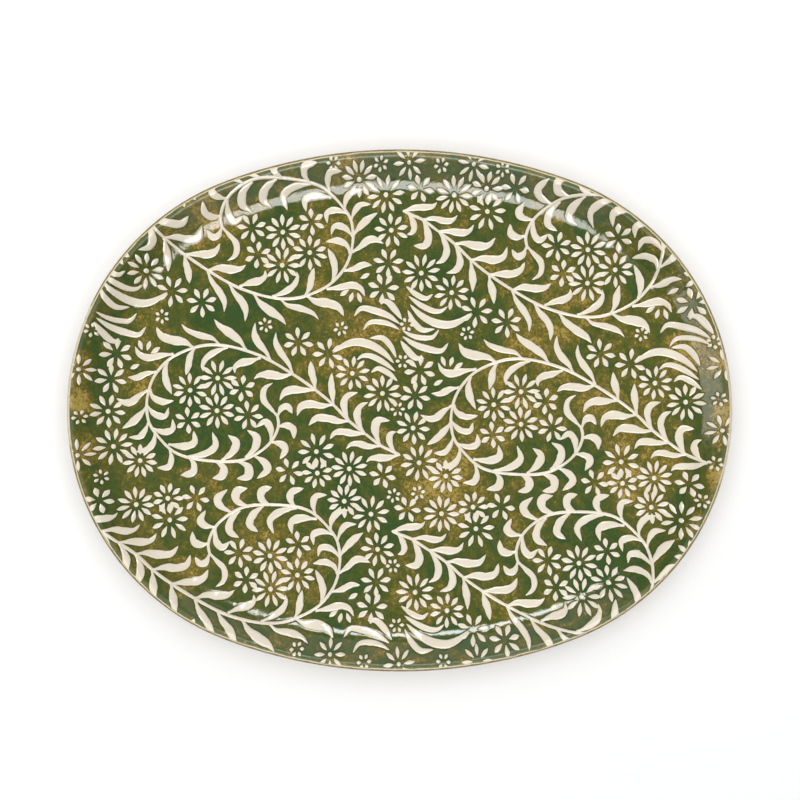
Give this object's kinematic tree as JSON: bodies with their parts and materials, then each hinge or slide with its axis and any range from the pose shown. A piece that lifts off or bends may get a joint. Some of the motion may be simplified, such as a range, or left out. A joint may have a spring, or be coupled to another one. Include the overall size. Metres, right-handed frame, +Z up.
{
  "type": "oval serving platter",
  "caption": "Shallow oval stoneware platter with a coved wall, a rounded brown lip, a foot ring and a raised cream floral vine pattern under green glaze.",
  "frame": {"origin": "middle of the plane that the foot ring stands on", "axes": "+Z up, out of the platter's mouth; +X along its length; +Y across it"},
  "size_m": [0.4128, 0.3238, 0.0258],
  "materials": {
    "stoneware": "matte",
    "bare_foot": "matte",
    "cream_slip": "gloss",
    "raised_cream": "gloss",
    "green_glaze": "gloss",
    "rim_glaze": "gloss",
    "underside_glaze": "gloss"
  },
  "bodies": {
    "root": {"clay_body": "stoneware", "foot_ring": "bare_foot", "cream_slip": "cream_slip", "green_glaze": "green_glaze", "rim_glaze": "rim_glaze", "underside_glaze": "underside_glaze", "base_glaze": "underside_glaze", "vine_stems": "raised_cream", "vine_leaves": "raised_cream", "plume_leaves": "raised_cream", "daisies": "raised_cream", "stars": "raised_cream", "blossoms": "raised_cream"}
  },
  "joints": []
}
